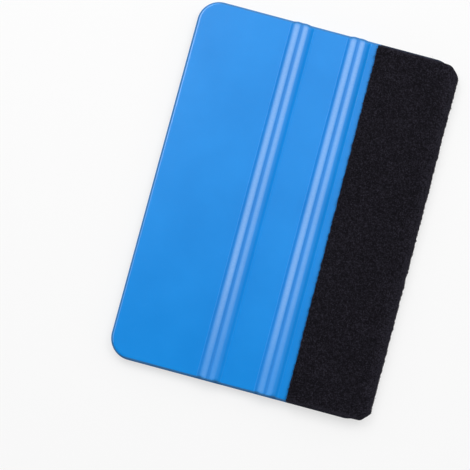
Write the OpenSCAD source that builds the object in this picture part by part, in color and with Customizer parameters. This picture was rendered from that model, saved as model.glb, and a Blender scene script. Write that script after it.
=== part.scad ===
// Squeegee applicator: a moulded plastic card with two ribs for the fingers on each face,
// and a strip of felt folded round its working edge and held there by an adhesive film.
//
// +X points from the plain grip edge to the felt-covered working edge, +Y runs along that
// edge and +Z is up, out of the front face. The origin is under the middle of the part,
// on the plane that it rests on. All sizes are in millimetres.

/* [Card] */
// Length of the card, along its working edge
card_l = 100; // [80:1:150]
// Width of the card, from the grip edge to the working edge
card_w = 71.5; // [64:1:110]
// Thickness of the card between its ribs
card_t = 2; // [1.4:0.1:3]
// Radius of the card's four corners, seen from above
corner_r = 6; // [3:0.5:10]
// Rounding of the card's rim, seen from its side
rim_r = 0.8; // [0.3:0.1:1.5]

/* [Ribs] */
// Distance between the middles of the two ribs
rib_pitch = 15.8; // [10:0.1:19]
// Distance from the middle of a rib to its foot on the grip edge's side
rib_grip_side = 2.9; // [2.2:0.1:3.6]
// Distance from the middle of a rib to its foot on the felt's side, where it is less steep
rib_felt_side = 3.4; // [2.2:0.1:3.7]
// Height of a rib above the flat of the card
rib_h = 1; // [0.6:0.1:2]
// Distance between the two crests of one rib
crest_pitch = 2.3; // [1.6:0.1:3]
// Rounding of the ribs' two ends
rib_end_r = 0.7; // [0.2:0.1:0.9]
// Clear card between the foot of the nearer rib and the felt, which sets the ribs' place
rib_gap = 2.25; // [1:0.05:8]

/* [Felt strip] */
// Thickness of the felt
felt_t = 0.9; // [0.6:0.1:1.5]
// Reach of each flap over the card, from the outside of the fold
flap_w = 23.2; // [16:0.1:25]
// How much narrower the front flap is at its -Y end than at its +Y end
flap_skew = 0.45; // [0.05:0.05:1.5]
// Distance from the card's ends in to the felt's ends, were the strip centred on it
felt_end_gap = 0.4; // [0.1:0.1:1]
// How far towards the card's -Y end the strip is glued off centre
felt_shift = 0.15; // [0.05:0.05:0.3]
// Angle at which the felt's ends draw in past the start of the card's corners
end_slope = 3; // [1:0.5:12]
// Size of the snip that takes the felt's corner off, at each end of the fold
felt_corner_cut = 2.5; // [1:0.1:4]

/* [Adhesive film] */
// Thickness of the film between the felt and the card
film_t = 0.1; // [0.05:0.05:0.3]
// Distance from the felt's cut edges in to the film's
film_inset = 0.3; // [0.1:0.1:0.5]

/* [Hidden] */
$fn = 64;

// What the film and the felt add to each face of the card, and to its working edge
wrap_t = film_t + felt_t;
// Outside of the fold, from the middle of the card
fold_x = card_w / 2 + wrap_t;
// Cut edge of the flaps, from the middle of the card
flap_x = fold_x - flap_w;
// Middle of the rib that is nearer to the felt, from the middle of the card
rib_x = flap_x - rib_gap - rib_felt_side;
// End of the felt, from the middle of the strip
felt_y = card_l / 2 - felt_end_gap;
// The part is centred with its felt on, so the card lies a little towards the grip edge
card_x = -wrap_t / 2;
// Height of the card's mid-plane when the ribs or the felt, whichever stand prouder,
// rest on the plane z = 0
mid_z = card_t / 2 + max(rib_h, wrap_t);
// A rim is no rounder than half of the card's thickness
rim = min(rim_r, card_t / 2 - 0.05);
// Depth at which a rib is rooted in the card
rib_root = card_t / 4;
// A tool that cuts reaches this far past what it cuts
past = 1;

// Point where two straight edges meet. An edge is [angle of its outward normal,
// distance from the middle of the card]
function meet(a, b) =
    [a[1] * sin(b[0]) - b[1] * sin(a[0]), b[1] * cos(a[0]) - a[1] * cos(b[0])]
    / sin(b[0] - a[0]);

// Cross-section of a slab w wide and t thick, its rim rounded by r
module slab_section(w, t, r) {
    square([w - 2 * r, t], center = true);
    square([w, t - 2 * r], center = true);
    for (x = [-1, 1], y = [-1, 1])
        translate([x * (w / 2 - r), y * (t / 2 - r)]) circle(r);
}

// Stands a cross-section on edge and draws it out along Y
module along_y(length) {
    rotate([90, 0, 0]) linear_extrude(length, center = true) children();
}

// The same along X, with the section's width along Y
module along_x(length) {
    rotate([90, 0, 90]) linear_extrude(length, center = true) children();
}

// Places a piece that is drawn about the middle of the card
module in_place() {
    translate([card_x, 0, mid_z]) children();
}

// Flat card with round corners and a rounded rim all the way round
module plate() {
    along_y(card_l - 2 * corner_r) slab_section(card_w, card_t, rim);
    along_x(card_w - 2 * corner_r) slab_section(card_l, card_t, rim);
    for (x = [-1, 1], y = [-1, 1])
        translate([x * (card_w / 2 - corner_r), y * (card_l / 2 - corner_r), 0])
            rotate_extrude()
                intersection() {
                    slab_section(2 * corner_r, card_t, rim);
                    translate([0, -card_t / 2]) square([corner_r, card_t]);
                }
}

// One crest of a rib, on that side of its middle: an arc through the crest's top and the
// rib's foot, which is the given reach away from the middle
module crest(side, reach) {
    foot_x = reach - crest_pitch / 2;
    r = (foot_x * foot_x + rib_h * rib_h) / (2 * rib_h);
    translate([side * crest_pitch / 2, rib_h - r]) circle(r);
}

// Cross-section of one rib with its two crests, from its root in the card
module rib_section() {
    intersection() {
        union() {
            crest(-1, rib_grip_side);
            crest(1, rib_felt_side);
        }
        translate([-rib_grip_side, -rib_root])
            square([rib_grip_side + rib_felt_side, rib_root + rib_h]);
    }
}

// One rib on the front face and its twin on the back face, with their ends rounded off
module rib_pair() {
    intersection() {
        for (face = [0, 1])
            mirror([0, 0, face])
                translate([0, 0, card_t / 2]) along_y(card_l) rib_section();
        along_x(2 * max(rib_grip_side, rib_felt_side))
            slab_section(card_l, card_t + 2 * rib_h, rib_end_r);
    }
}

// Moulded card: the plate and its ribs are one piece
module card() {
    color([0.13, 0.5, 0.88])
        in_place() {
            plate();
            for (away = [rib_pitch, 0])
                translate([rib_x - away, 0, 0]) rib_pair();
        }
}

// Outline of a folded strip seen from above, its cut edges drawn in by inset: straight
// ends that slope in past the card's corners, and a snip where they would meet the fold
function strip_outline(inset) =
    let (
        slope_x = card_w / 2 - corner_r,
        end = [90, felt_y - inset],
        slope_d = slope_x * sin(end_slope) + felt_y * cos(end_slope),
        slope = [90 - end_slope, slope_d - inset],
        fold = [0, fold_x - inset],
        snip_y = (slope_d - fold_x * sin(end_slope)) / cos(end_slope) - felt_corner_cut,
        snip = [45, fold_x * cos(45) + snip_y * sin(45) - inset],
        half = [[0, end[1]], meet(end, slope), meet(slope, snip), meet(snip, fold)]
    )
    concat(half, [for (i = [3:-1:0]) [half[i][0], -half[i][1]]]);

// What lies beyond the cut edge of the flap on one face, drawn in by inset. The strip is
// folded a little askew, so one flap narrows where the other widens
module beyond_flap(face, inset) {
    edge_x = flap_x + inset;
    lean = face * flap_skew / 2;
    scale([1, 1, face])
        linear_extrude(card_t + wrap_t)
            polygon([
                [edge_x - lean, card_l / 2],
                [-past, card_l / 2],
                [-past, -card_l / 2],
                [edge_x + lean, -card_l / 2]
            ]);
}

// Strip of thickness t folded round the working edge, at a distance gap from the card
module folded_strip(gap, t, inset) {
    outer = gap + t;
    difference() {
        intersection() {
            along_y(card_l)
                slab_section(card_w + 2 * outer, card_t + 2 * outer, rim + outer);
            linear_extrude(card_t + 2 * outer, center = true)
                polygon(strip_outline(inset));
        }
        along_y(card_l + past)
            slab_section(card_w + 2 * gap, card_t + 2 * gap, rim + gap);
        for (face = [-1, 1]) beyond_flap(face, inset);
    }
}

// Places a folded strip that is drawn about the middle of the card
module glued_on() {
    in_place() translate([0, -felt_shift, 0]) children();
}

// Adhesive film between the felt and the card
module adhesive_film() {
    color([0.72, 0.73, 0.7])
        glued_on() folded_strip(0, film_t, film_inset);
}

// Felt strip, one length of felt that covers both faces of the working edge
module felt_strip() {
    color([0.1, 0.1, 0.12])
        glued_on() folded_strip(film_t, felt_t, 0);
}

card();
adhesive_film();
felt_strip();
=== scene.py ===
# %% [markdown]
# # A squeegee applicator, in cells
#
# The object is a hand card for smoothing film and vinyl: a flat moulded plastic card with two
# ribs for the fingers on each face, and a strip of felt glued round its working edge. Its three
# pieces arrive from the CAD model as a frame that fixes every size and place. What follows adds
# the looks around it: the soft meeting of rib and card, the nap of the felt, the finishes,
# and a small studio.

# %% Load the frame and take the sizes from it
import math

import bmesh
import bpy
import numpy as np
from mathutils import Matrix, Vector


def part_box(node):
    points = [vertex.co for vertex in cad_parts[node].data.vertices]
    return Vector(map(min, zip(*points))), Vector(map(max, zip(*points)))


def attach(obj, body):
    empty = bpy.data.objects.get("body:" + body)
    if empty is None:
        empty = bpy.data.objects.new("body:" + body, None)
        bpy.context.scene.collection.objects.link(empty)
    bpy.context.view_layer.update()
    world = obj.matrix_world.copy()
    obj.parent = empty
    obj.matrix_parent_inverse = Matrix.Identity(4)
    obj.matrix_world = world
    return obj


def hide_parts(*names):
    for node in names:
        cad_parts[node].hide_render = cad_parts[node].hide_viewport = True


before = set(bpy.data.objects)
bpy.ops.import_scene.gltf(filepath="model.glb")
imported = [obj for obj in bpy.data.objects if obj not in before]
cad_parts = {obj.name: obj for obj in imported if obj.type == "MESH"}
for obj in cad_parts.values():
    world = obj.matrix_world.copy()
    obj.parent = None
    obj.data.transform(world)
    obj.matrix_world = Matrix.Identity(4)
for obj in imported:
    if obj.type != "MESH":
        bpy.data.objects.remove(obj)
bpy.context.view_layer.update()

MM = 0.001
card_low, card_high = (np.array(corner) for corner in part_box("card"))
felt_low, felt_high = (np.array(corner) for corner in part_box("felt_strip"))
middle = (card_low + card_high) / 2
half_w, half_l, half_ribs = (card_high - card_low) / 2
print("card", ((card_high - card_low) / MM).round(2), "mm")
print("felt", ((felt_high - felt_low) / MM).round(2), "mm")

# %% [markdown]
# ## A plate, as a grid
#
# The card is a plate with round corners and a rounded rim, and the felt, before it is folded,
# is a plate too. A cube with bevels would give both outlines, but not the dense, even lines
# that the ribs and the nap need. So one function lays out the grid of any such plate: two
# rectangular grids, for the front and the back, and between them a closed ring of profiles
# that is carried round the outline. The lines of the ring run straight on into the
# grids, so the doubles can be welded and the surface is closed.


# %% Lay out the ring and the two faces of a plate
def outline_of(x_lines, y_lines, corner_steps):
    """Walks anticlockwise round the rectangle that the grid lines span. Gives each stop's point
    and the direction that faces out there. At a corner the point stays, and the direction
    turns by a quarter circle in corner_steps steps."""
    turn = np.arange(1, corner_steps) / corner_steps * math.pi / 2
    sides = [
        (x_lines, np.full(len(x_lines), y_lines[0])),
        (np.full(len(y_lines), x_lines[-1]), y_lines),
        (x_lines[::-1], np.full(len(x_lines), y_lines[-1])),
        (np.full(len(y_lines), x_lines[0]), y_lines[::-1]),
    ]
    points, angles = [], []
    for side, (x, y) in enumerate(sides):
        facing = (side - 1) * math.pi / 2
        points.append(np.column_stack([x, y]))
        angles.append(np.full(len(x), facing))
        points.append(np.repeat([[x[-1], y[-1]]], len(turn), axis=0))
        angles.append(facing + turn)
    angles = np.concatenate(angles)
    return np.concatenate(points), np.column_stack([np.cos(angles), np.sin(angles)])


def ring_faces(stops, steps):
    """Four-sided faces between the neighbours of a closed ring of stops, each with a profile of
    steps points."""
    stop, step = np.meshgrid(np.arange(stops), np.arange(steps - 1), indexing="ij")
    after = (stop + 1) % stops
    near, far = stop * steps + step, after * steps + step
    return np.stack([near, far, far + 1, near + 1], axis=-1).reshape(-1, 4)


def sheet_faces(rows, columns):
    """Four-sided faces between the neighbours of a grid of rows by columns points."""
    row, column = np.meshgrid(np.arange(rows - 1), np.arange(columns - 1), indexing="ij")
    first = row * columns + column
    return np.stack([first, first + columns, first + columns + 1, first + 1], axis=-1).reshape(-1, 4)


def plate(x_lines, y_lines, border, corner_steps, rim_steps, flat_steps, half_height, rim_radius):
    """Points and faces of a plate whose outline stands border outside the rectangle of the grid
    lines. half_height and rim_radius are functions of x and y. At a distance d in from the
    outline the surface stands at h - r + r sin(t), where d = r (1 - cos(t)), so it leaves the
    side wall as a quarter circle of radius r and reaches its full height h at its end. The
    rim_steps go round that quarter circle, and the flat_steps from there in to the grid. They
    start small, because a long face next to a curve would carry its shading over the flat."""
    points, outward = outline_of(x_lines, y_lines, corner_steps)
    edge = points + border * outward
    quarter = np.linspace(0, math.pi / 2, rim_steps + 1)
    inner = (np.arange(1, flat_steps + 1) / flat_steps) ** 2
    turn = np.concatenate([quarter, np.full(flat_steps, math.pi / 2)])
    inward = np.concatenate([np.zeros(rim_steps + 1), inner])
    side = np.repeat([-1.0, 1.0], len(turn))
    turn = np.concatenate([turn[::-1], turn])[None, :]
    inward = np.concatenate([inward[::-1], inward])[None, :]
    tall = half_height(edge[:, 0], edge[:, 1])[:, None]
    round_off = rim_radius(edge[:, 0], edge[:, 1])[:, None]
    depth = round_off * (1 - np.cos(turn)) + inward * (border - round_off)
    ring = np.empty((*depth.shape, 3))
    ring[..., :2] = edge[:, None, :] - depth[..., None] * outward[:, None, :]
    ring[..., 2] = side * (tall - round_off + round_off * np.sin(turn))
    x, y = np.meshgrid(x_lines, y_lines, indexing="ij")
    face = np.stack([x, y, half_height(x, y)], axis=-1).reshape(-1, 3)
    ring, quads = ring.reshape(-1, 3), sheet_faces(len(x_lines), len(y_lines))
    all_points = np.concatenate([ring, face, face * [1, 1, -1]])
    all_faces = np.concatenate([
        ring_faces(len(edge), side.size),
        quads + len(ring),
        quads[:, ::-1] + len(ring) + len(face),
    ])
    return all_points, all_faces


# %% [markdown]
# Every new piece goes through one function that puts the points into a mesh, welds the
# points that share a place and prints whether the surface is closed. A volume above zero
# says that the faces point outwards.


# %% Make a piece from points and faces
WELD = 0.001 * MM


def make_piece(name, points, faces, weld=True):
    """A new object at the origin, with its place in its mesh."""
    mesh = bpy.data.meshes.new(name)
    mesh.from_pydata(points.tolist(), [], faces.tolist())
    work = bmesh.new()
    work.from_mesh(mesh)
    if weld:
        bmesh.ops.remove_doubles(work, verts=work.verts, dist=WELD)
    open_edges = sum(len(edge.link_faces) != 2 for edge in work.edges)
    triangles = sum(len(face.verts) - 2 for face in work.faces)
    volume = work.calc_volume(signed=True) / MM**3
    work.to_mesh(mesh)
    work.free()
    mesh.shade_smooth()
    piece = bpy.data.objects.new(name, mesh)
    bpy.context.scene.collection.objects.link(piece)
    print(f"{name}: {triangles} triangles, {open_edges} open edges, {volume:.1f} mm3")
    return piece


# %% [markdown]
# ## The card
#
# The card is one moulding. Each rib is a low band with two crests, and the mould leaves a
# small fillet wherever surfaces meet. A boolean union of cylinders and a plate would
# leave sharp seams, so the height of the face is a function of x instead: two arcs with
# straight flanks, joined by a smooth maximum, which is the larger of two heights plus a
# little near the place where they are equal. The flank towards the grip edge is the
# steeper one, and both crests curve alike towards the valley between them. The grid lines
# are 0.12 mm apart over the ribs and wide apart on the flats.

# %% The height of the card's face
RIB_HEIGHT = 1.0 * MM
RIB_PITCH = 15.8 * MM
CREST_PITCH = 2.3 * MM
VALLEY_FILLET = 0.04 * MM
VALLEY_RADIUS = 2.3 * MM
# Fillets at a rib's feet: towards the grip edge, towards the felt
FOOT_FILLETS = 0.03 * MM, 0.05 * MM
RIM_RADIUS = 0.8 * MM
RIB_END_RADIUS = 0.7 * MM
# The nose that a rib's end rounds into, and how far past the crest its radius is reached
NOSE_RADIUS, NOSE_REACH = 1.4 * MM, 1.1 * MM
CORNER_RADIUS = 6.0 * MM
half_card = half_ribs - RIB_HEIGHT
# Of each side of a rib: its sign, the distance from the middle to the foot, the crest's radius
GRIP_SIDE, FELT_SIDE = (-1, 2.9 * MM, 1.75 * MM), (1, 3.4 * MM, 2.4 * MM)


def smooth_max(a, b, fillet):
    """The larger of a and b, plus (4 f - |a - b|)^2 / (16 f) where they are closer than 4 f, so
    that the join is rounded and stands f, the fillet, proud where a and b are equal."""
    return np.maximum(a, b) + np.maximum(4 * fillet - abs(a - b), 0) ** 2 / (16 * fillet)


def flank_angle(foot, radius):
    """Slope of the line that passes through a rib's foot and touches the arc of its crest."""
    reach, drop = foot - CREST_PITCH / 2, radius - RIB_HEIGHT
    return math.pi / 2 - math.atan2(drop, reach) - math.acos(radius / math.hypot(reach, drop))


def crest(x, side, foot, radius):
    """Height above the flat of the crest on one side of a rib's middle, from which x is counted:
    an arc, RIB_HEIGHT up at its top, that runs out into a straight flank down to the foot.
    Towards the middle its radius is VALLEY_RADIUS instead, up to a slope of 45 degrees."""
    out = side * x - CREST_PITCH / 2
    bend = np.where(out > 0, radius, VALLEY_RADIUS)
    turn = np.where(out > 0, flank_angle(foot, radius), math.pi / 4)
    on_arc = np.minimum(abs(out), bend * np.sin(turn))
    return RIB_HEIGHT - bend + np.sqrt(bend**2 - on_arc**2) - (abs(out) - on_arc) * np.tan(turn)


def from_rib(x):
    """Distance of x, counted from the card's middle, from the middle of the nearer rib."""
    return x - np.where(x < 0, -RIB_PITCH / 2, RIB_PITCH / 2)


def rib_height(x):
    """Height of the two ribs above the flat of the card, x counted from the card's middle."""
    both = smooth_max(crest(from_rib(x), *GRIP_SIDE), crest(from_rib(x), *FELT_SIDE), VALLEY_FILLET)
    return smooth_max(both, 0, np.where(from_rib(x) < 0, *FOOT_FILLETS))


def card_half_height(x, y):
    """Height of the card's face above its middle plane, the same all along y."""
    return half_card + rib_height(x)


def card_rim(x, y):
    """Radius that rounds the top edge off: the rim's on the flats, the rib end's on the crests, and
    a larger one on the flanks, so that a rib ends in a round nose. It is blended up to half of
    a rib's height."""
    on_rib = np.clip(rib_height(x) / RIB_HEIGHT / 0.5, 0, 1)
    past_crest = np.clip((abs(from_rib(x)) - CREST_PITCH / 2) / NOSE_REACH, 0, 1)
    nose = RIB_END_RADIUS + (NOSE_RADIUS - RIB_END_RADIUS) * past_crest
    return RIM_RADIUS + (nose - RIM_RADIUS) * on_rib


slopes = [round(math.degrees(flank_angle(*side[1:]))) for side in (GRIP_SIDE, FELT_SIDE)]
print("flanks slope by", slopes, f"degrees, card {2 * half_card / MM:.2f} mm thick")


# %% Make the card
FLAT_SPACING, RIB_SPACING = 1.5 * MM, 0.12 * MM
# How far past a rib's feet the grid stays dense
FOOT_MARGIN = 0.8 * MM


def lines(low, high, spacing):
    """Evenly spaced grid lines from low to high, about spacing apart."""
    return np.linspace(low, high, max(2, round((high - low) / spacing) + 1))


flat_x, flat_y = half_w - CORNER_RADIUS, half_l - CORNER_RADIUS
rib_reach = (-GRIP_SIDE[1] - FOOT_MARGIN, FELT_SIDE[1] + FOOT_MARGIN)
stops = [-flat_x, *(rib * RIB_PITCH / 2 + reach for rib in (-1, 1) for reach in rib_reach), flat_x]
# Between the stops flats and ribs take turns, and the first is a flat
card_x_lines = np.unique(np.concatenate([
    lines(low, high, RIB_SPACING if number % 2 else FLAT_SPACING)
    for number, (low, high) in enumerate(zip(stops[:-1], stops[1:]))
]).round(9))
card_points, card_faces = plate(
    card_x_lines, lines(-flat_y, flat_y, FLAT_SPACING), CORNER_RADIUS,
    corner_steps=24, rim_steps=8, flat_steps=8, half_height=card_half_height, rim_radius=card_rim,
)
card = make_piece("moulded_card", card_points + middle, card_faces)

# %% [markdown]
# ## The felt strip
#
# The real strip is cut flat, glued round the edge and trimmed with scissors after it is
# folded. The mesh is made the same way. It starts as a flat plate, whose x is the distance
# across the strip from the middle of the fold. A needled felt has no threads, only a
# matted surface, so its face is lowered by a seeded noise of a tenth of a millimetre or two,
# at several scales. Then the plate is folded over the card's section, and its ends are trimmed.
# Sculpting the nap with a displacement texture would do too, but a texture can't
# follow the fold.

# %% Sizes of the felt
FELT_THICK = 0.9 * MM
FLAP_WIDTH = 23.2 * MM
# How much narrower the front flap is at its -Y end than at its +Y end
FLAP_LEAN = 0.45 * MM
END_SLOPE = math.radians(3)
# Size and rounding of the snips that take the corners off: at the +Y end, at the -Y end
SNIPS = (2.6 * MM, 2.3 * MM)
SNIP_ROUNDING = (0.16 * MM, 0.06 * MM)
CUT_ROUNDING = 0.3 * MM
NAP_SPACING = 0.34 * MM
# Noises that add up to the nap, and to the waves of the cut edges: height, lump width, seed
NAP_NOISES = (0.38, 0.5 * MM, 1), (0.16, 0.9 * MM, 2), (0.07, 2.1 * MM, 3), (0.03, 7 * MM, 4)
EDGE_WAVES = (0.05 * MM, 3.1 * MM, 5), (0.10 * MM, 0.7 * MM, 6)
# Depth of the nap on the flaps, and what the fold adds to it
NAP_DEPTH, FOLD_DEPTH = 0.17 * MM, 0.16 * MM
# The corners start to close up this far inside the card's outline, go on over this reach,
# and at its end have closed up by this share of the card's thickness
CLOSING_START, CLOSING_REACH, CLOSING_SHARE = 0.6 * MM, 2.4 * MM, 0.75
# Share of the strip's half length by which its trimmed ends are ragged
END_RAGGEDNESS = 0.0011
fold_x = felt_high[0] - middle[0]
felt_y = (felt_high[1] - felt_low[1]) / 2
felt_shift = (felt_high[1] + felt_low[1]) / 2 - middle[1]
# Half of the straight stretch of the card's side wall, and how far outside the card the
# middle layer of the felt lies
rim_land = half_card - RIM_RADIUS
middle_gap = fold_x - half_w - FELT_THICK / 2
fold_radius = RIM_RADIUS + middle_gap
quarter_fold = rim_land + fold_radius * math.pi / 2
half_strip = quarter_fold + FLAP_WIDTH - (fold_x - half_w) - RIM_RADIUS
print(f"the flat strip is {2 * half_strip / MM:.1f} x {2 * felt_y / MM:.1f} mm")


# %% Seeded noise
def noise(u, v, cell, seed):
    """Random heights at the corners of a square lattice, blended between the corners with the
    smooth step 3 t^2 - 2 t^3. It runs from -1 to 1, its lumps are about one cell wide, and it
    repeats after 256 cells."""
    table = np.random.default_rng(seed).uniform(-1, 1, (256, 256))
    column, row = np.floor(u / cell), np.floor(v / cell)
    over, up = u / cell - column, v / cell - row
    over, up = over * over * (3 - 2 * over), up * up * (3 - 2 * up)
    column, row = column.astype(int) % 256, row.astype(int) % 256
    next_column, next_row = (column + 1) % 256, (row + 1) % 256
    near = table[column, row] * (1 - over) + table[next_column, row] * over
    far = table[column, next_row] * (1 - over) + table[next_column, next_row] * over
    return near * (1 - up) + far * up


def nap_depth(across, along):
    """How far the felt's face lies below its full thickness: a sum of noises, from fibre
    clumps to the slow unevenness of the mat, and on the fold also of tufts that lie across it."""
    total = 0.5 + sum(height * noise(across, along, cell, seed) for height, cell, seed in NAP_NOISES)
    on_fold = np.clip(1.4 - abs(across) / quarter_fold, 0, 1)
    tufts = noise(across / 4, along, 0.6 * MM, 8) + noise(across / 4, along, 1.4 * MM, 9)
    return (NAP_DEPTH + FOLD_DEPTH * on_fold) * (total + 0.25 * on_fold * tufts)


# %% Fold and trim
def trimmed_end(x):
    """Distance from the middle of the strip to its trimmed +Y end and its -Y end, at a place x in
    plan. Both slope in past the start of the card's corner and are snipped at 45 degrees, and
    the snip's own corner is worn round."""
    slope = felt_y - np.maximum(x - flat_x, 0) * math.tan(END_SLOPE)
    corner_y = felt_y - (fold_x - flat_x) * math.tan(END_SLOPE)
    return [
        -smooth_max(-slope, snip - corner_y - np.maximum(fold_x - x, 0), rounding)
        for snip, rounding in zip(SNIPS, SNIP_ROUNDING)
    ]


def section(across, out, thick):
    """Plan x and height z of a point of the folded strip. across is the distance along its middle
    layer from the middle of the fold, out the distance outside that layer, and thick the share
    of the card's thickness that is inside the fold there. It runs straight past the card's
    side wall, round a quarter circle and along the face."""
    land, rim = rim_land * thick, RIM_RADIUS * thick
    radius = rim + middle_gap
    length = abs(across)
    angle = np.clip((length - land) / radius, 0, math.pi / 2)
    beyond = np.maximum(length - land - radius * math.pi / 2, 0)
    x = half_w - rim + (radius + out) * np.cos(angle) - beyond
    z = np.minimum(length, land) + (radius + out) * np.sin(angle)
    return x, -np.sign(across) * z


def outside_card(x, y):
    """Distance outside the card's outline, less than zero inside it."""
    past_x, past_y = np.maximum(x - flat_x, 0), np.maximum(abs(y) - flat_y, 0)
    return np.hypot(past_x, past_y) - CORNER_RADIUS


def fold(across, along, out):
    """Takes points of the flat strip to the folded one. The strip is a little askew, its cut edges
    are wavy, and its corners close up where the card's round corners don't hold them apart. How
    far they close is a smooth step of the distance past the card's outline."""
    askew = np.clip(abs(across) / half_strip, 0, 1) ** 2
    wave = sum(height * noise(along, across * 0, cell, seed) for height, cell, seed in EDGE_WAVES)
    across = across - askew * (FLAP_LEAN / 2 * along / felt_y + wave)
    x, z = section(across, out, 1.0)
    top, bottom = trimmed_end(x)
    y = along / felt_y * np.where(along > 0, top, bottom) + felt_shift
    past = np.clip((outside_card(x, y) + CLOSING_START) / CLOSING_REACH, 0, 1)
    x, z = section(across, out, 1 - CLOSING_SHARE * past * past * (3 - 2 * past))
    top, bottom = trimmed_end(x)
    ragged = 1 + END_RAGGEDNESS * noise(across, along, 0.5 * MM, 7)
    y = along / felt_y * np.where(along > 0, top, bottom) * ragged + felt_shift
    return np.column_stack([x, y, z])


# %% Make the felt
felt_x_lines = lines(-half_strip + CUT_ROUNDING, half_strip - CUT_ROUNDING, NAP_SPACING)
felt_y_lines = lines(-felt_y + CUT_ROUNDING, felt_y - CUT_ROUNDING, NAP_SPACING)
flat_points, felt_faces = plate(
    felt_x_lines, felt_y_lines, CUT_ROUNDING, corner_steps=3, rim_steps=3, flat_steps=1,
    half_height=lambda x, y: np.full(np.shape(x), FELT_THICK / 2),
    rim_radius=lambda x, y: np.full(np.shape(x), CUT_ROUNDING),
)
across, along, out = flat_points.T
out = out - nap_depth(across, along) * np.clip(out / (FELT_THICK / 2), 0, 1)
felt = make_piece("folded_felt", fold(across, along, out) + middle, felt_faces)

# %% [markdown]
# ## Loose fibres
#
# Felt looks like felt because single fibres stand off its face and off its cut edges. Hair
# particles would draw them too, but they would be lost as a mesh. So each fibre is a thin
# three-sided tube of a few faces that leaves the mat, curls and ends in the air or
# dips in again. All of them are worked out at once, as arrays with one row per fibre, in the
# flat strip's own coordinates, and the same fold takes them to the card's edge. On the
# back, where the part lies on them, they are pressed into the mat.


# %% Make the fibres
FIBRE_ROOT = 0.05 * MM


def fibre_tubes(across, along, length, rise, radius, seed):
    """Tubes of three sides and four rings. A tube's middle goes on by length / 4 from ring to ring,
    in a heading that turns as t runs from 0 to 1. Its height over the mat is rise sin(2.2 t)
    less FIBRE_ROOT, so that it starts inside the mat. The last ring closes to a hundredth
    of the radius."""
    chance = np.random.default_rng(seed)
    count, rings = len(across), 4
    t = np.linspace(0, 1, rings)[None, :]
    heading = chance.uniform(0, 2 * math.pi, (count, 1)) + chance.normal(0, 1.1, (count, 1)) * t
    step = length[:, None] / rings
    x = across[:, None] + np.cumsum(step * np.cos(heading), axis=1)
    y = along[:, None] + np.cumsum(step * np.sin(heading), axis=1)
    height = rise[:, None] * np.sin(2.2 * t) - FIBRE_ROOT
    width = radius * (1 - 0.99 * t**3)
    tubes = np.empty((count, rings, 3, 3))
    for corner in range(3):
        angle = 2 * math.pi * corner / 3
        tubes[:, :, corner, 0] = x - width * math.cos(angle) * np.sin(heading)
        tubes[:, :, corner, 1] = y + width * math.cos(angle) * np.cos(heading)
        tubes[:, :, corner, 2] = height + width * math.sin(angle)
    return tubes


def fibre_faces(count):
    """Faces of the tubes, as triangles: two for each side of each stretch, and one for each end."""
    corner, ring = np.meshgrid(np.arange(3), np.arange(3), indexing="ij")
    after = (corner + 1) % 3
    near, far = ring * 3 + corner, ring * 3 + after
    one_tube = np.concatenate([
        np.stack([near, far, far + 3], -1).reshape(-1, 3),
        np.stack([near, far + 3, near + 3], -1).reshape(-1, 3),
        [[2, 1, 0], [9, 10, 11]],
    ])
    return (one_tube[None] + 12 * np.arange(count)[:, None, None]).reshape(-1, 3)


def make_fibres(name, across, along, length, rise, seed, radius=0.016 * MM):
    """One piece of loose fibres, which start at these places of the flat strip, stand on the nap
    and are folded with it."""
    tubes = fibre_tubes(across, along, length, rise, radius, seed).reshape(-1, 3)
    base = FELT_THICK / 2 - nap_depth(tubes[:, 0], tubes[:, 1])
    points = fold(tubes[:, 0], tubes[:, 1], base + tubes[:, 2]) + middle
    return make_piece(name, points, fibre_faces(len(across)), weld=False)


chance = np.random.default_rng(21)
# How many fibres each piece has, and the share of the strip's length that they start in
FRONT, BACK, FOLD, CUT = 8500, 4000, 5500, 4000
INSIDE = 0.992
flap_start = quarter_fold + 1.0 * MM
# Each call gives the places across and along the strip, the lengths, the rises and a seed
front_fibres = make_fibres(
    "felt_fibres_front",
    chance.uniform(-half_strip, -flap_start, FRONT), chance.uniform(-felt_y, felt_y, FRONT) * INSIDE,
    chance.uniform(0.5, 1.6, FRONT) * MM, chance.uniform(0.04, 0.16, FRONT) * MM, 22,
)
cut_fibres = make_fibres(
    "felt_fibres_cut",
    chance.uniform(0.1, 0.5, CUT) * MM - half_strip, chance.uniform(-felt_y, felt_y, CUT) * INSIDE,
    chance.uniform(0.3, 0.9, CUT) * MM, chance.uniform(0.0, 0.06, CUT) * MM, 25, 0.022 * MM,
)
back_fibres = make_fibres(
    "felt_fibres_back",
    chance.uniform(flap_start, half_strip, BACK), chance.uniform(-felt_y, felt_y, BACK) * INSIDE,
    chance.uniform(0.5, 1.6, BACK) * MM, np.full(BACK, 0.02 * MM), 23,
)
fold_fibres = make_fibres(
    "felt_fibres_fold",
    np.clip(chance.normal(-0.4, 0.9, FOLD), -3, 1.2) * MM, chance.uniform(-felt_y, felt_y, FOLD) * INSIDE,
    chance.uniform(0.4, 1.1, FOLD) * MM, chance.uniform(0.08, 0.26, FOLD) * MM, 24, 0.026 * MM,
)

# %% [markdown]
# ## Writing shader maths as Python
#
# A material's nodes are easier to read as expressions. The small class below wraps one
# output socket and overloads the arithmetic operators, so that 1 - mask adds a Math
# node by itself. Every other node comes from one method, which takes its type, its
# settings and the values or links of its sockets.


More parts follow.
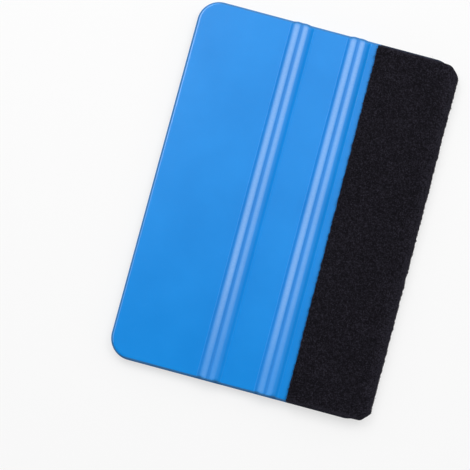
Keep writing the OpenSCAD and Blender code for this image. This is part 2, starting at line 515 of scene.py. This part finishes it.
# %% The shader helper
class Wire:
    """One output socket of a material, with arithmetic that adds Math nodes."""

    def __init__(self, socket):
        self.socket = socket
        self.tree = socket.id_data

    def math(self, operation, other=0.0, swap=False):
        """A Math node on this value and another, or on the other and this one."""
        first, second = (other, self) if swap else (self, other)
        return Shader(self.tree).node("ShaderNodeMath", {"operation": operation}, {0: first, 1: second})

    def __add__(self, other):
        return self.math("ADD", other)

    def __sub__(self, other):
        return self.math("SUBTRACT", other)

    def __rsub__(self, other):
        return self.math("SUBTRACT", other, swap=True)

    def __mul__(self, other):
        return self.math("MULTIPLY", other)

    __radd__, __rmul__ = __add__, __mul__


class Shader:
    """Adds nodes to one node tree and links their sockets."""

    def __init__(self, tree):
        self.tree = tree

    def node(self, kind, settings=None, inputs=None, output=0):
        """A node of that type. settings are set first, then inputs, by the socket's name or
        number: a Wire is linked, anything else is set as the socket's value."""
        made = self.tree.nodes.new(kind)
        for name, value in (settings or {}).items():
            setattr(made, name, value)
        for key, value in (inputs or {}).items():
            if isinstance(value, Wire):
                self.tree.links.new(value.socket, made.inputs[key])
            else:
                made.inputs[key].default_value = value
        return Wire(made.outputs[output])

    def noise(self, place, scale, detail=2.0, roughness=0.5):
        """Smooth noise between 0 and 1, whose lumps are about 1 / scale wide."""
        return self.node(
            "ShaderNodeTexNoise", {},
            {"Vector": place, "Scale": scale, "Detail": detail, "Roughness": roughness}, output="Fac",
        )

    def stretched(self, place, scale, turn):
        """The same place, turned about Z and scaled by axis, so that a noise on it runs out into
        streaks."""
        return self.node("ShaderNodeMapping", {}, {"Vector": place, "Scale": scale, "Rotation": (0, 0, turn)})

    def part(self, place, axis):
        """One of a place's three coordinates."""
        return self.node("ShaderNodeSeparateXYZ", {}, {"Vector": place}, output=axis)

    def ramp(self, value, low, high, to_low=0.0, to_high=1.0):
        """Maps low..high of value to to_low..to_high, and holds it there outside."""
        return self.node(
            "ShaderNodeMapRange", {"clamp": True}, {0: value, 1: low, 2: high, 3: to_low, 4: to_high}
        )

    def blend(self, factor, first, second):
        """Mixes two colours."""
        return self.node(
            "ShaderNodeMix", {"data_type": "RGBA"}, {"Factor": factor, 6: first, 7: second}, output=2
        )


def start_material(name):
    """A new material, emptied of nodes, as a Shader, with the piece's own place."""
    material = bpy.data.materials.new(name)
    material.use_nodes = True
    material.node_tree.nodes.clear()
    shader = Shader(material.node_tree)
    return material, shader, shader.node("ShaderNodeTexCoord", output="Object")


def finish_material(material, shader, surface):
    """Links the surface to the material's output."""
    output = material.node_tree.nodes.new("ShaderNodeOutputMaterial")
    material.node_tree.links.new(surface.socket, output.inputs["Surface"])
    print("material", material.name, "with", len(material.node_tree.nodes), "nodes")
    return material


# %% [markdown]
# ## The card's plastic
#
# Polypropylene is slightly waxy: a strong, clean colour under a soft gloss. Up close it
# has faint flow clouds in the colour, a fine grain left by the tool, and hairline
# scratches from use, which lie in two main directions. Clouds and specks go into the colour,
# clouds and scratches into the roughness, and all but the specks into the bump. The
# scratches are noises on a place that is scaled by axis, cut off near their highest values.

# %% The plastic's own pattern
material, shader, place = start_material("blue_polypropylene")
clouds = shader.noise(place, 60, 3, 0.55)
specks = shader.noise(place, 900, 2, 0.6)
grain = shader.noise(place, 2600, 2, 0.5)
first_lines = shader.noise(shader.stretched(place, (60, 2600, 1), 0.35), 1.0, 1, 0.4)
second_lines = shader.noise(shader.stretched(place, (2300, 50, 1), 0.2), 1.0, 1, 0.4)
scratches = shader.ramp(first_lines, 0.72, 0.80) + shader.ramp(second_lines, 0.74, 0.82)
print("the plastic's pattern takes", len(material.node_tree.nodes), "nodes")

# %% [markdown]
# The grooves that mould the ribs are milled, not polished, so the ribs are duller than the flats, dullest at
# their feet. The crests carry a pale painted highlight, and the valley between the crests and the low flanks
# carry painted shade in a deeper blue. A texture painted on the mesh could hold all this, but a mask on a
# point's own place stays sharp at any size: how far it has risen from the flat, as a share of a rib's height,
# and its distance from the rib's middle.


# %% Masks that follow the ribs
def by_side(grip, felt):
    """Runs from one number on a rib's flank towards the grip edge to another on the flank
    towards the felt, over the valley between its crests."""
    return grip + (felt - grip) * felt_side


rise = ((shader.part(place, "Z") - float(middle[2])).math("ABSOLUTE") - half_card) * (1 / RIB_HEIGHT)
across = shader.part(place, "X") - float(middle[0])
along = shader.part(place, "Y")
from_end = half_l - along.math("ABSOLUTE")
from_middle = across - across.math("SIGN") * (RIB_PITCH / 2)
felt_side = shader.ramp(from_middle, -0.3 * MM, 0.3 * MM)
on_rib = shader.ramp(rise, 0.0005, 0.01)
# Where the valley's painted shade lies
in_valley = on_rib * shader.ramp(from_middle.math("ABSOLUTE"), 0.15 * MM, 0.55 * MM, 1.0, 0.0)
# The band of a flank that carries painted shade: a third of the way up on the grip edge's side and a fifth on
# the felt's
from_band = (rise - by_side(0.32, 0.20)).math("ABSOLUTE")
in_band = on_rib * shader.ramp(from_band, 0.0, 0.40, 1.0, 0.0)
# Dullness goes by the distance past the foot, which doesn't end in a line as a height would
past_foot = from_middle.math("ABSOLUTE") - by_side(GRIP_SIDE[1], FELT_SIDE[1])
dulled = shader.ramp(past_foot, -0.15 * MM, 0.25 * MM, 1.0, 0.0)
at_fillet = dulled - shader.ramp(rise, 0.10, 0.35)
low_flank = shader.ramp(rise - by_side(0.0, 0.13), 0.20, 0.50, 1.0, 0.0)
by_foot = low_flank * shader.ramp(past_foot, -0.10 * MM, by_side(0.25 * MM, 0.80 * MM), 1.0, 0.0)
# The painted highlight starts lower on the steep flank. It is weaker towards the -Y end and on the crest
# towards the felt, except near the +Y end, and it fades at the ribs' ends
crest_start = 0.52 + 0.33 * shader.ramp(from_middle, -1.3 * MM, -0.9 * MM)
highlight_share = shader.ramp(along, -0.9 * half_l, -0.4 * half_l, 0.35, 1.0)
highlight_share *= 1 - felt_side * shader.ramp(along, -0.3 * half_l, 0.7 * half_l, 0.4, 0.0)
short_of_end = shader.ramp(from_end, 0.5 * MM, 1.3 * MM, 0.2, 1.0)
on_crest = shader.ramp(rise, crest_start, 1.0) * highlight_share * short_of_end
print("with the ribs' masks it has", len(material.node_tree.nodes), "nodes")

# %% [markdown]
# A dull, darker line of painted shade runs along the rim. Its mask is the tilt of the surface, less the ribs'
# flanks, and at the two ends the distance from them. On the grip edge a pale hairline of painted highlight
# lies where the rounding starts. From the felt's cut edge on, the card is darker and dull. That shows where
# the felt stops short of the card's ends.

# %% Masks along the rim and the felt
upward = shader.part(shader.node("ShaderNodeNewGeometry", output="Normal"), "Z").math("ABSOLUTE")
on_flank = on_rib * shader.ramp(from_end, 0.7 * MM, 0.9 * MM)
# Where the rim's painted shade lies
shaded_rim = shader.ramp(upward, 0.82, 0.95, 1.0, 0.0) * (1 - on_flank)
shaded_rim = shaded_rim.math("MAXIMUM", shader.ramp(from_end, 0.55 * MM, 0.80 * MM, 1.0, 0.0))
# It fades on the upright side wall
shaded_rim *= shader.ramp(upward, 0.25, 0.60, 0.35, 1.0)
# Where the grip edge's painted highlight, a pale hairline, lies
at_grip_edge = shader.ramp(across, 1.1 * MM - half_w, 1.2 * MM - half_w, 1.0, 0.0)
on_hairline = at_grip_edge * (shader.ramp(upward, 0.87, 0.93) - shader.ramp(upward, 0.975, 0.995))
# Where the card turns darker and dull, from the felt's cut edge on
cut_edge = fold_x - FLAP_WIDTH
beside_felt = shader.ramp(across, cut_edge + 0.05 * MM, cut_edge + 0.65 * MM)
print(f"the felt's cut edge is {cut_edge / MM:.2f} mm from the card's middle")

# %% [markdown]
# The masks choose between five blues, one of them a painted highlight and one painted shade, and add to the
# roughness. Where the rim's painted shade, the darker card beside the felt or the milled foot take the gloss
# away, the surface is also mixed towards a plain diffuse one, because a rough gloss would still mirror the
# lamps.

# %% Blue polypropylene
DEEP_BLUE, LIGHT_BLUE = (0.0035, 0.230, 0.690, 1), (0.0055, 0.256, 0.745, 1)
# The specks' blue, a pale blue for the painted highlight and a deep blue for painted shade
SPECK_BLUE, HIGHLIGHT_BLUE, SHADE_BLUE = (0.05, 0.34, 0.85, 1), (0.58, 0.76, 1.0, 1), (0.001, 0.13, 0.45, 1)
# The rim's painted shade, and the darker colour of the card from the felt's cut edge on
RIM_SHADE, DARK_BESIDE_FELT = (0.055, 0.185, 0.40, 1), (0.020, 0.029, 0.050, 1)
FLAT_ROUGHNESS, RIB_DULLING, FILLET_DULLING = 0.17, 0.28, 0.4
# Strengths of the painted highlights on the crests and on the grip edge's hairline
CREST_HIGHLIGHT, EDGE_HIGHLIGHT = 0.37, 0.17
# Strength of the valley's painted shade, and how dull the rim's painted shade is
VALLEY_SHADE, RIM_DULLNESS = 0.35, 0.9
# Painted shade on a flank's band, and dullness at its foot: on the flank towards the grip edge, on the flank
# towards the felt
FLANK_SHADE, FOOT_DULLNESS = (0.26, 0.06), (0.35, 0.70)
# Painted highlight on the crests and on the grip edge's hairline, broken up by the tool's grain
painted_highlight = on_crest * (CREST_HIGHLIGHT - 0.2 * grain) + on_hairline * EDGE_HIGHLIGHT
# Painted shade in the valley and on a band of each flank
painted_shade = in_valley * VALLEY_SHADE + in_band * by_side(*FLANK_SHADE)
# Under the rim's painted shade, beside the felt and at the feet, the gloss gives way to a plain diffuse
# surface
dull = (shaded_rim * RIM_DULLNESS).math("MAXIMUM", beside_felt)
dull = dull.math("MAXIMUM", by_foot * by_side(*FOOT_DULLNESS))
colour = shader.blend(shader.ramp(clouds, 0.3, 0.7), DEEP_BLUE, LIGHT_BLUE)
colour = shader.blend(shader.ramp(specks, 0.62, 0.8) * 0.06, colour, SPECK_BLUE)
# The painted highlight, in a pale blue
colour = shader.blend(painted_highlight, colour, HIGHLIGHT_BLUE)
# The painted shade, in a deep blue
colour = shader.blend(painted_shade, colour, SHADE_BLUE)
# The diffuse surface's colour: the rim's painted shade, and darker from the felt's cut edge on
dull_colour = shader.blend(beside_felt, shader.blend(shaded_rim, colour, RIM_SHADE), DARK_BESIDE_FELT)
roughness = FLAT_ROUGHNESS + (clouds + scratches) * 0.05 + dulled * RIB_DULLING + at_fillet * FILLET_DULLING
bump = shader.node("ShaderNodeBump", {}, {
    "Strength": 0.35, "Distance": 0.02 * MM, "Height": grain * 0.6 + clouds * 0.8 - scratches * 0.2,
})
glossy = shader.node("ShaderNodeBsdfPrincipled", {}, {
    "Base Color": colour, "Roughness": roughness, "Normal": bump, "IOR": 1.49,
})
diffuse = shader.node("ShaderNodeBsdfDiffuse", {}, {"Color": dull_colour})
card.data.materials.append(finish_material(
    material, shader, shader.node("ShaderNodeMixShader", {}, {0: dull, 1: glossy, 2: diffuse})
))

# %% [markdown]
# ## Felt and adhesive
#
# Black felt is never quite black. Its fibres are dyed a dark purple-grey, clumps of them lie at different
# angles, and here and there one catches the light. So the colour varies at the scale of the clumps and of
# single fibres, and a little sheen lifts it where it is seen at a low angle. A painted sheen in the colour
# adds to that: the colour is painted paler where the surface tilts, over the fold and along the strip's two
# trimmed ends. The loose fibres are a shade lighter, so that they stand out from the mat.


# %% Black felt
# How far the painted sheen at the strip's ends and along its fold reaches in
END_SHEEN_REACH, FOLD_SHEEN_REACH = 1.3 * MM, 4.2 * MM
# Sums of the patterns at which the colour is all dark and all pale
ALL_DARK, ALL_PALE = 0.640, 0.850


def black_felt(name, dark, pale, sheen):
    """A felt finish that runs from its dark to its pale colour by clumps, by streaks of fibres in two
    directions and by the slow unevenness of the mat. A painted sheen makes it paler at the strip's ends,
    along its fold and where the surface tilts."""
    material, shader, place = start_material(name)
    clumps = shader.noise(place, 1900, 2, 0.6)
    hairs = shader.noise(shader.stretched(place, (5200, 1500, 3000), 0.6), 1.0, 2, 0.6)
    other_hairs = shader.noise(shader.stretched(place, (1400, 5000, 3000), 0.2), 1.0, 2, 0.6)
    mat = shader.noise(place, 160, 2, 0.5)
    amount = clumps * 0.30 + hairs * 0.51 + other_hairs * 0.51 + mat * 0.045
    along = shader.part(place, "Y").math("ABSOLUTE")
    # Painted sheen: paler along the trimmed ends, over the fold and where the surface tilts
    amount += shader.ramp(along, felt_y - END_SHEEN_REACH, felt_y, 0.0, 0.10)
    across = shader.part(place, "X") - float(middle[0])
    amount += shader.ramp(across, fold_x - FOLD_SHEEN_REACH, fold_x - 0.7 * MM, 0.0, 0.08)
    upward = shader.part(shader.node("ShaderNodeNewGeometry", output="Normal"), "Z").math("ABSOLUTE")
    amount += (1 - upward) * 0.16
    colour = shader.blend(shader.ramp(amount, ALL_DARK, ALL_PALE), dark, pale)
    bump = shader.node("ShaderNodeBump", {}, {
        "Strength": 0.8, "Distance": 0.12 * MM, "Height": clumps * 0.6 + hairs * 0.5 + other_hairs * 0.5,
    })
    cloth = shader.node("ShaderNodeBsdfPrincipled", {}, {
        "Base Color": colour,
        "Roughness": 0.85,
        "Normal": bump,
        "Specular IOR Level": 0.1,
        "Sheen Weight": sheen,
        "Sheen Roughness": 0.5,
        "Sheen Tint": (0.75, 0.75, 0.9, 1),
    })
    return finish_material(material, shader, cloth)


felt_finish = black_felt("black_felt", (0.0016, 0.0013, 0.0030, 1), (0.0195, 0.0178, 0.0265, 1), 0.03)
fibre_finish = black_felt("black_felt_fibre", (0.005, 0.004, 0.008, 1), (0.055, 0.050, 0.068, 1), 0.0)
felt.data.materials.append(felt_finish)
for piece in (front_fibres, cut_fibres, back_fibres, fold_fibres):
    piece.data.materials.append(fibre_finish)

# %% [markdown]
# The adhesive lies between felt and card and shows only as a thin line, if at all. It is
# the CAD model's own piece, so it only needs a finish: a slightly hazy, grey-blue acrylic.

# %% Clear adhesive
material, shader, place = start_material("acrylic_adhesive")
haze = shader.noise(place, 700, 3, 0.6)
bubbles = shader.noise(place, 2400, 1, 0.5)
colour = shader.blend(shader.ramp(haze, 0.35, 0.7), (0.09, 0.15, 0.20, 1), (0.14, 0.21, 0.26, 1))
bump = shader.node("ShaderNodeBump", {}, {
    "Strength": 0.5, "Distance": 0.03 * MM, "Height": haze + bubbles * 0.4,
})
glue = shader.node("ShaderNodeBsdfPrincipled", {}, {
    "Base Color": colour, "Roughness": 0.18 + haze * 0.15, "Normal": bump, "IOR": 1.47,
})
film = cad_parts["adhesive_film"]
film.data.materials.clear()
film.data.materials.append(finish_material(material, shader, glue))

# %% [markdown]
# ## The studio
#
# The part lies on a pale floor and is seen from almost straight above. A glossy card shows
# whatever lies in its mirror direction, so two large soft boxes stand to the left and the
# right of the far end, where only the ribs and the rim mirror them, and a pale sky fills the
# rest. Each lamp's power is worked out from the brightness that its surface should have,
# because that is what a reflection shows. Their light adds up to the level at which
# a colour looks as it is written.

# %% The camera
# Where it looks, how far away it is, and its focal length in millimetres
AIM = Vector((-11.25, -10.23, 2.0)) * MM
DISTANCE = 536.5 * MM
FOCAL_LENGTH = 153.0
AZIMUTH, ELEVATION, ROLL = (math.radians(angle) for angle in (5.58, 85.35, 15.06))
back = Vector((
    math.sin(AZIMUTH) * math.cos(ELEVATION), -math.cos(AZIMUTH) * math.cos(ELEVATION), math.sin(ELEVATION),
))
level = back.cross(Vector((0, 1, 0))).normalized() * -1
upright = back.cross(level)
right = level * math.cos(ROLL) + upright * math.sin(ROLL)
up = upright * math.cos(ROLL) - level * math.sin(ROLL)
camera_data = bpy.data.cameras.new("camera")
camera_data.sensor_width = 36
camera_data.lens = FOCAL_LENGTH
camera_data.clip_start, camera_data.clip_end = 0.01, 20
camera = bpy.data.objects.new("camera", camera_data)
bpy.context.scene.collection.objects.link(camera)
turned = Matrix((right, up, back)).transposed().to_4x4()
camera.matrix_world = Matrix.Translation(AIM + back * DISTANCE) @ turned
bpy.context.scene.camera = camera
print("camera right", [round(c, 4) for c in right], "up", [round(c, 4) for c in up])


# %% The lamps
BOX_DISTANCE = 0.6


def soft_box(name, lean_x, lean_y, size, brightness):
    """An area lamp that stands BOX_DISTANCE from the part, leans from the vertical by two angles,
    in degrees, towards +X and +Y, and faces the part. Its power is its brightness times pi
    times its area."""
    direction = Vector((math.tan(math.radians(lean_x)), math.tan(math.radians(lean_y)), 1)).normalized()
    lamp = bpy.data.lights.new(name, "AREA")
    lamp.shape = "RECTANGLE"
    lamp.size, lamp.size_y = size
    lamp.energy = brightness * math.pi * size[0] * size[1]
    holder = bpy.data.objects.new(name, lamp)
    bpy.context.scene.collection.objects.link(holder)
    across = Vector((0, 1, 0)).cross(direction).normalized()
    facing = Matrix((across, direction.cross(across), direction)).transposed().to_4x4()
    holder.matrix_world = Matrix.Translation(direction * BOX_DISTANCE) @ facing
    print(f"{name}: {lamp.energy:.2f} W")


soft_box("left_box", -26, 27, size=(0.31, 0.38), brightness=4.7)
soft_box("right_box", 22, 27, size=(0.24, 0.38), brightness=4.2)

# %% [markdown]
# The floor is paper that glows a little for the camera and for mirror rays, so that it looks
# nearly white and gives the card no extra light. It keeps the part's soft shadow. It lies a
# thousandth of a millimetre below the part, so that the two never share a plane.

# %% The floor
FLOOR_REACH, FLOOR_DROP = 1.5, WELD
PAPER, GLOW = (0.26, 0.26, 0.26, 1), 0.68
floor_corners = [
    (x * FLOOR_REACH, y * FLOOR_REACH, -FLOOR_DROP) for x, y in ((-1, -1), (1, -1), (1, 1), (-1, 1))
]
floor_mesh = bpy.data.meshes.new("floor")
floor_mesh.from_pydata(floor_corners, [], [(0, 1, 2, 3)])
floor = bpy.data.objects.new("floor", floor_mesh)
bpy.context.scene.collection.objects.link(floor)
material, shader, _ = start_material("floor")
seen = sum(
    shader.node("ShaderNodeLightPath", output=f"Is {ray} Ray") for ray in ("Camera", "Glossy", "Transmission")
)
paper = shader.node("ShaderNodeBsdfDiffuse", {}, {"Color": PAPER})
glow = shader.node("ShaderNodeEmission", {}, {"Color": (1, 1, 1, 1), "Strength": seen * GLOW})
floor_mesh.materials.append(finish_material(
    material, shader, shader.node("ShaderNodeAddShader", {}, {0: paper, 1: glow})
))

# %% [markdown]
# The sky is a smooth function of direction, with no picture behind it. Its main part is bright
# from just north of overhead and on, and that edge is what the flat of the card mirrors.
# A pale band stands along the horizon, for the rim and for views from the side.

# %% The world
world = bpy.data.worlds.new("studio")
bpy.context.scene.world = world
world.use_nodes = True
world.node_tree.nodes.clear()
sky = Shader(world.node_tree)
direction = sky.node("ShaderNodeTexCoord", output="Generated")
northward = sky.part(direction, "Y")
overhead = sky.ramp(northward, 0.02, 0.10, 0.0, 0.66) + sky.ramp(northward, 0.10, 0.23, 0.0, 0.25)
horizon = sky.ramp(sky.part(direction, "Z"), 0.15, 0.65, 0.75, 0.0)
strength = overhead.math("MAXIMUM", horizon)
sky_light = sky.node("ShaderNodeBackground", {}, {"Color": (1, 1, 1, 1), "Strength": strength})
world_output = world.node_tree.nodes.new("ShaderNodeOutputWorld")
world.node_tree.links.new(sky_light.socket, world_output.inputs["Surface"])
bpy.context.scene.view_settings.view_transform = "Standard"
print("sky with", len(world.node_tree.nodes), "nodes")

# %% [markdown]
# ## Hand over to the frame
#
# Each new piece rides on the body of the CAD model, and the CAD model's own card and felt strip, which the
# new pieces replace, are hidden.

# %% Ride on the body and hide the replaced pieces
for piece, slot in (
    (card, "blue_polypropylene"),
    (felt, "black_felt"),
    (front_fibres, "black_felt"),
    (cut_fibres, "black_felt"),
    (back_fibres, "black_felt"),
    (fold_fibres, "black_felt"),
):
    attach(piece, "root")
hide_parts("card")
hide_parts("felt_strip")
2 * half_strip
